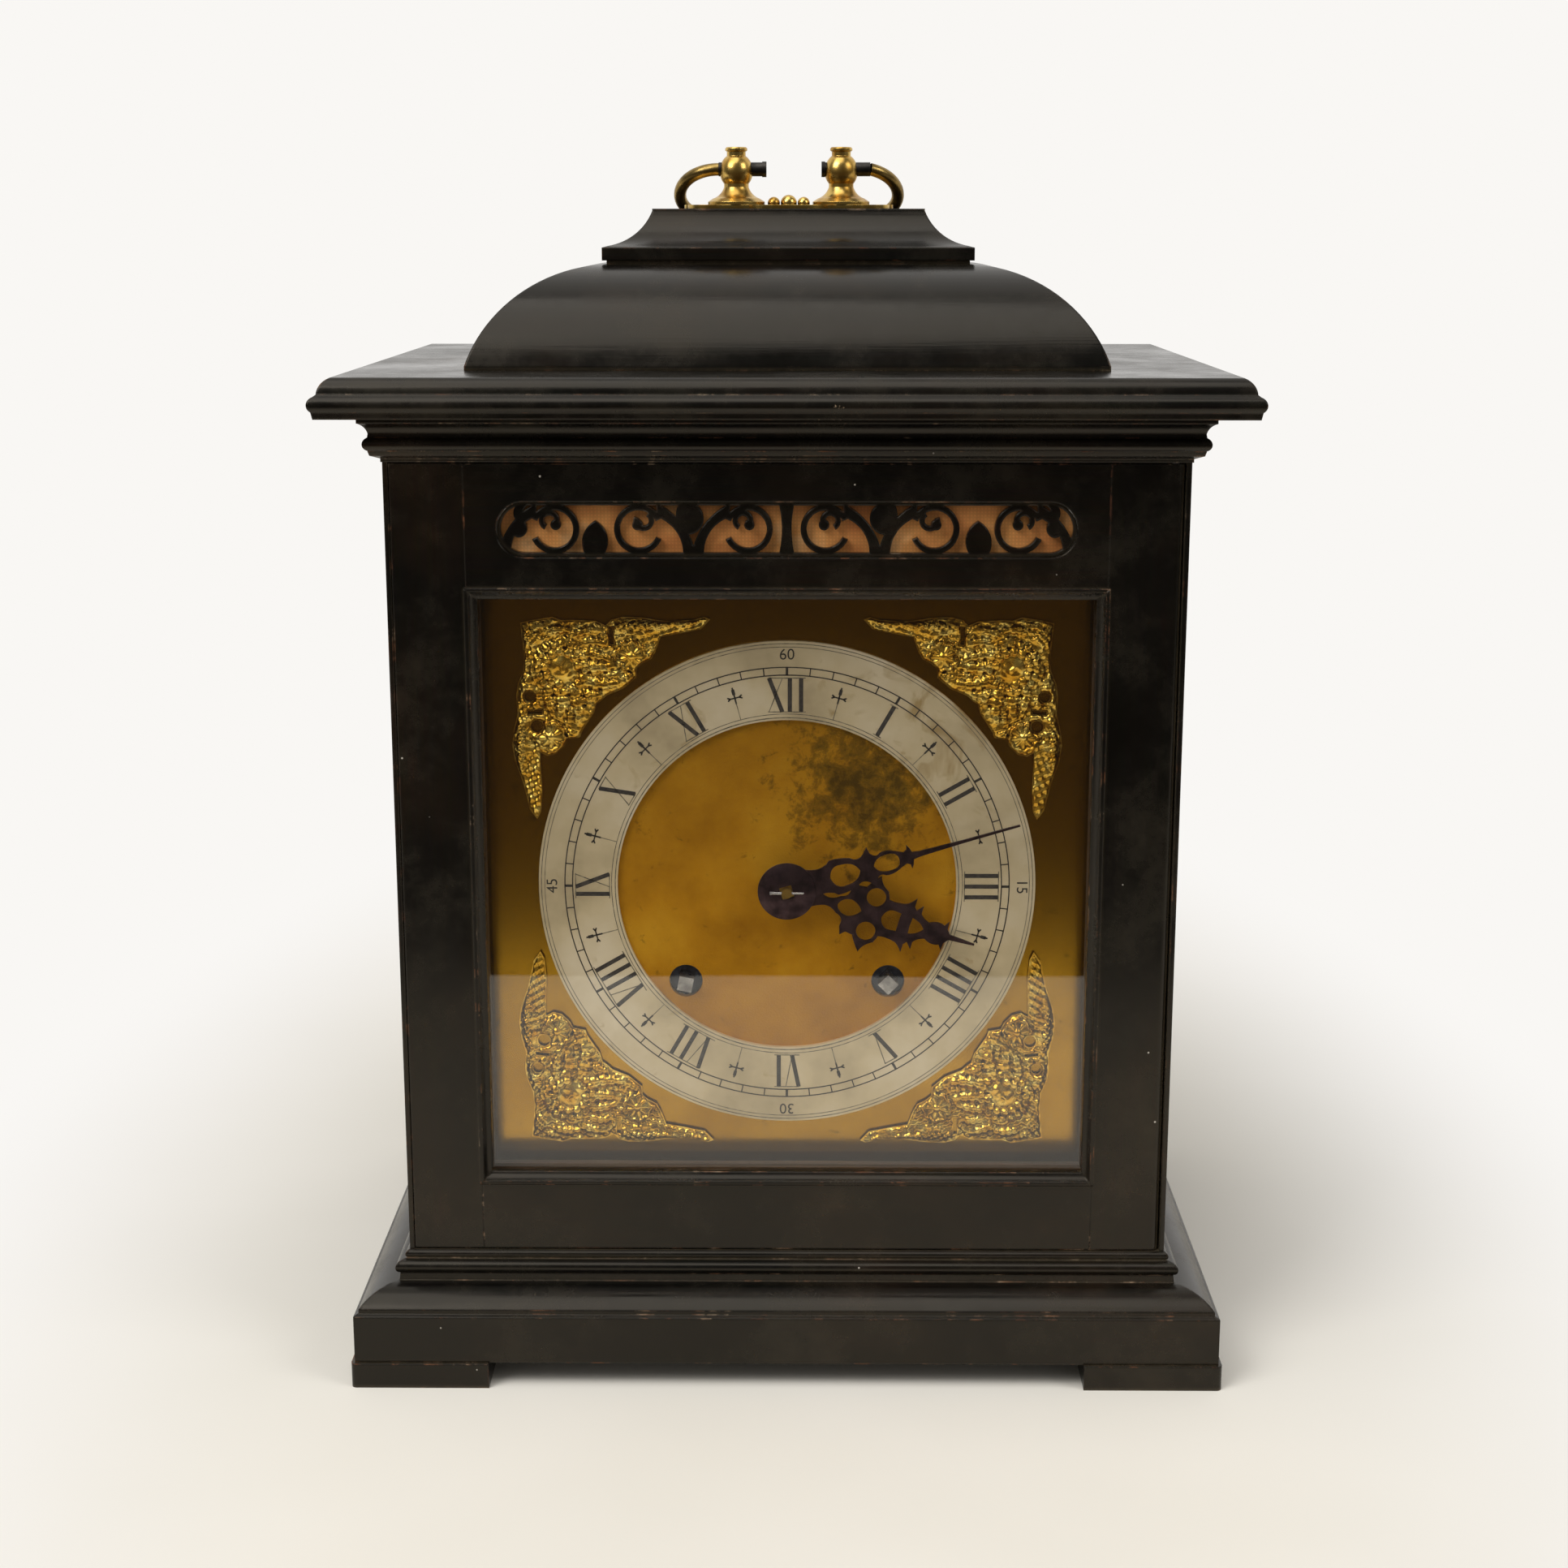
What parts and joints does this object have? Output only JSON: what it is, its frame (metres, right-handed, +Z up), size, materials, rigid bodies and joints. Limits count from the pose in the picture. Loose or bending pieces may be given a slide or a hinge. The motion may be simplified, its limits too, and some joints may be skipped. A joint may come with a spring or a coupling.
{
  "type": "bracket clock",
  "caption": "Spring-driven bracket clock in an ebonised case: caddy top with folding handle, glazed doors, brass dial with silvered ring, striking on a coil gong.",
  "frame": {"origin": "on the floor, at the centre of the footprint", "axes": "+Z up, -Y out of the dial, +X to the right of someone who reads the dial"},
  "size_m": [0.2628, 0.2028, 0.3632],
  "materials": {
    "ebonised": "ebonised and polished, worn brown on the edges",
    "inner_wood": "plain oiled hardwood",
    "brass": "satin, slightly toned",
    "dial_brass": "matted centre, satin border",
    "silvered": "silvered brass, aged",
    "gilt": "gilt casting",
    "steel": "polished steel",
    "blued_steel": "blued, nearly black",
    "glass": "clear",
    "silk": "orange silk"
  },
  "bodies": {
    "case": {"feet": "ebonised", "base_moulding": "ebonised", "base_board": "inner_wood", "side_board_left": "ebonised", "side_board_right": "ebonised", "bed_moulding": "ebonised", "cornice_slab": "ebonised", "caddy_block": "ebonised", "cap_block": "ebonised", "handle_plate": "brass", "handle_posts": "brass", "dial_mask": "ebonised", "dial_plate": "dial_brass", "chapter_ring": "silvered", "spandrel_top_left": "gilt", "spandrel_top_right": "gilt", "spandrel_bottom_left": "gilt", "spandrel_bottom_right": "gilt", "front_plate": "brass", "back_plate": "brass", "plate_pillars": "brass", "seat_board": "inner_wood", "pendulum_cock": "brass", "clicks": "steel", "gong": "blued_steel"},
    "front_door": {"door_stile_left": "ebonised", "door_stile_right": "ebonised", "door_rail_top": "ebonised", "door_rail_bottom": "ebonised", "sight_moulding": "ebonised", "glass_beading": "ebonised", "door_glass": "glass", "sound_fret": "ebonised", "fret_silk": "silk", "door_pivots": "steel"},
    "back_door": {"back_door_frame": "ebonised", "back_door_glass": "glass"},
    "catch": {"back_catch": "brass"},
    "bail": {"bail_handle": "brass", "bail_pivots": "steel"},
    "minute": {"minute_hand": "blued_steel", "hand_collet": "blued_steel", "cannon_pinion": "steel"},
    "hour": {"hour_hand": "blued_steel", "hour_wheel": "brass"},
    "minute_wheel": {"minute_wheel": "brass"},
    "going_barrel": {"going_barrel": "brass"},
    "going_arbor": {"going_arbor": "steel"},
    "intermediate": {"intermediate_wheel": "brass"},
    "centre": {"centre_wheel": "brass", "hand_pin": "steel"},
    "third": {"third_wheel": "brass"},
    "escape": {"escape_wheel": "brass"},
    "pallets": {"pallets": "steel"},
    "pendulum": {"pendulum": "brass"},
    "strike_barrel": {"strike_barrel": "brass"},
    "strike_arbor": {"strike_arbor": "steel"},
    "pin_wheel": {"pin_wheel": "brass"},
    "fly": {"fly": "brass"},
    "hammer": {"hammer": "steel"}
  },
  "joints": [
    {"name": "front_door_hinge", "type": "hinge", "parent": "case", "child": "front_door", "pos_m": [0.1098, -0.0815, 0], "axis": [0, 0, 1], "range_deg": [0, 95]},
    {"name": "back_door_hinge", "type": "hinge", "parent": "case", "child": "back_door", "pos_m": [-0.1098, 0.0815, 0], "axis": [0, 0, 1], "range_deg": [0, 95]},
    {"name": "back_catch_turn", "type": "hinge", "parent": "back_door", "child": "catch", "pos_m": [0.097, 0.078, 0.156], "axis": [0, 1, 0], "range_deg": [0, 90]},
    {"name": "handle_hinge", "type": "hinge", "parent": "case", "child": "bail", "pos_m": [0, 0, 0.3566], "axis": [1, 0, 0], "range_deg": [0, 258]},
    {"name": "minute_turn", "type": "hinge", "parent": "case", "child": "minute", "pos_m": [0, -0.066, 0.1478], "axis": [0, 1, 0], "continuous": true},
    {"name": "hour_turn", "type": "hinge", "parent": "case", "child": "hour", "pos_m": [0, -0.065, 0.1478], "axis": [0, 1, 0], "continuous": true},
    {"name": "minute_wheel_turn", "type": "hinge", "parent": "case", "child": "minute_wheel", "pos_m": [-0.01061, -0.058, 0.13719], "axis": [0, 1, 0], "continuous": true},
    {"name": "third_turn", "type": "hinge", "parent": "case", "child": "third", "pos_m": [-0.00354, -0.028, 0.16658], "axis": [0, 1, 0], "continuous": true},
    {"name": "centre_turn", "type": "hinge", "parent": "case", "child": "centre", "pos_m": [0, -0.016, 0.1478], "axis": [0, 1, 0], "continuous": true},
    {"name": "escape_turn", "type": "hinge", "parent": "case", "child": "escape", "pos_m": [0, -0.0135, 0.183], "axis": [0, 1, 0], "continuous": true},
    {"name": "intermediate_turn", "type": "hinge", "parent": "case", "child": "intermediate", "pos_m": [0.02061, -0.021, 0.14498], "axis": [0, 1, 0], "continuous": true},
    {"name": "going_barrel_turn", "type": "hinge", "parent": "case", "child": "going_barrel", "pos_m": [0.0304, -0.037, 0.1179], "axis": [0, 1, 0], "continuous": true},
    {"name": "going_winding", "type": "hinge", "parent": "case", "child": "going_arbor", "pos_m": [0.0304, -0.06, 0.1179], "axis": [0, 1, 0], "range_deg": [0, 1800]},
    {"name": "pallet_rock", "type": "hinge", "parent": "case", "child": "pallets", "pos_m": [0, -0.0135, 0.203], "axis": [0, 1, 0], "range_deg": [-3.5, 3.5]},
    {"name": "pendulum_swing", "type": "hinge", "parent": "case", "child": "pendulum", "pos_m": [0, 0.005, 0.203], "axis": [0, 1, 0], "range_deg": [-3.5, 3.5]},
    {"name": "pin_wheel_turn", "type": "hinge", "parent": "case", "child": "pin_wheel", "pos_m": [-0.0254, -0.021, 0.14626], "axis": [0, 1, 0], "continuous": true},
    {"name": "strike_barrel_turn", "type": "hinge", "parent": "case", "child": "strike_barrel", "pos_m": [-0.0304, -0.037, 0.1179], "axis": [0, 1, 0], "continuous": true},
    {"name": "strike_winding", "type": "hinge", "parent": "case", "child": "strike_arbor", "pos_m": [-0.0304, -0.06, 0.1179], "axis": [0, 1, 0], "range_deg": [0, 1800]},
    {"name": "fly_turn", "type": "hinge", "parent": "case", "child": "fly", "pos_m": [-0.02217, -0.04, 0.16458], "axis": [0, 1, 0], "continuous": true},
    {"name": "hammer_swing", "type": "hinge", "parent": "case", "child": "hammer", "pos_m": [-0.04, 0.036, 0.188], "axis": [0, 1, 0], "range_deg": [0, 20]}
  ],
  "couplings": [
    {"joint": "hour_turn", "follows": "minute_turn", "ratio": 0.083333},
    {"joint": "minute_wheel_turn", "follows": "minute_turn", "ratio": -0.33333},
    {"joint": "centre_turn", "follows": "third_turn", "ratio": -0.083333},
    {"joint": "escape_turn", "follows": "third_turn", "ratio": -11},
    {"joint": "intermediate_turn", "follows": "third_turn", "ratio": 0.011905},
    {"joint": "going_barrel_turn", "follows": "third_turn", "ratio": -0.002381},
    {"joint": "pendulum_swing", "follows": "pallet_rock", "ratio": 1},
    {"joint": "strike_barrel_turn", "follows": "pin_wheel_turn", "ratio": -0.2},
    {"joint": "fly_turn", "follows": "pin_wheel_turn", "ratio": -6.75}
  ]
}
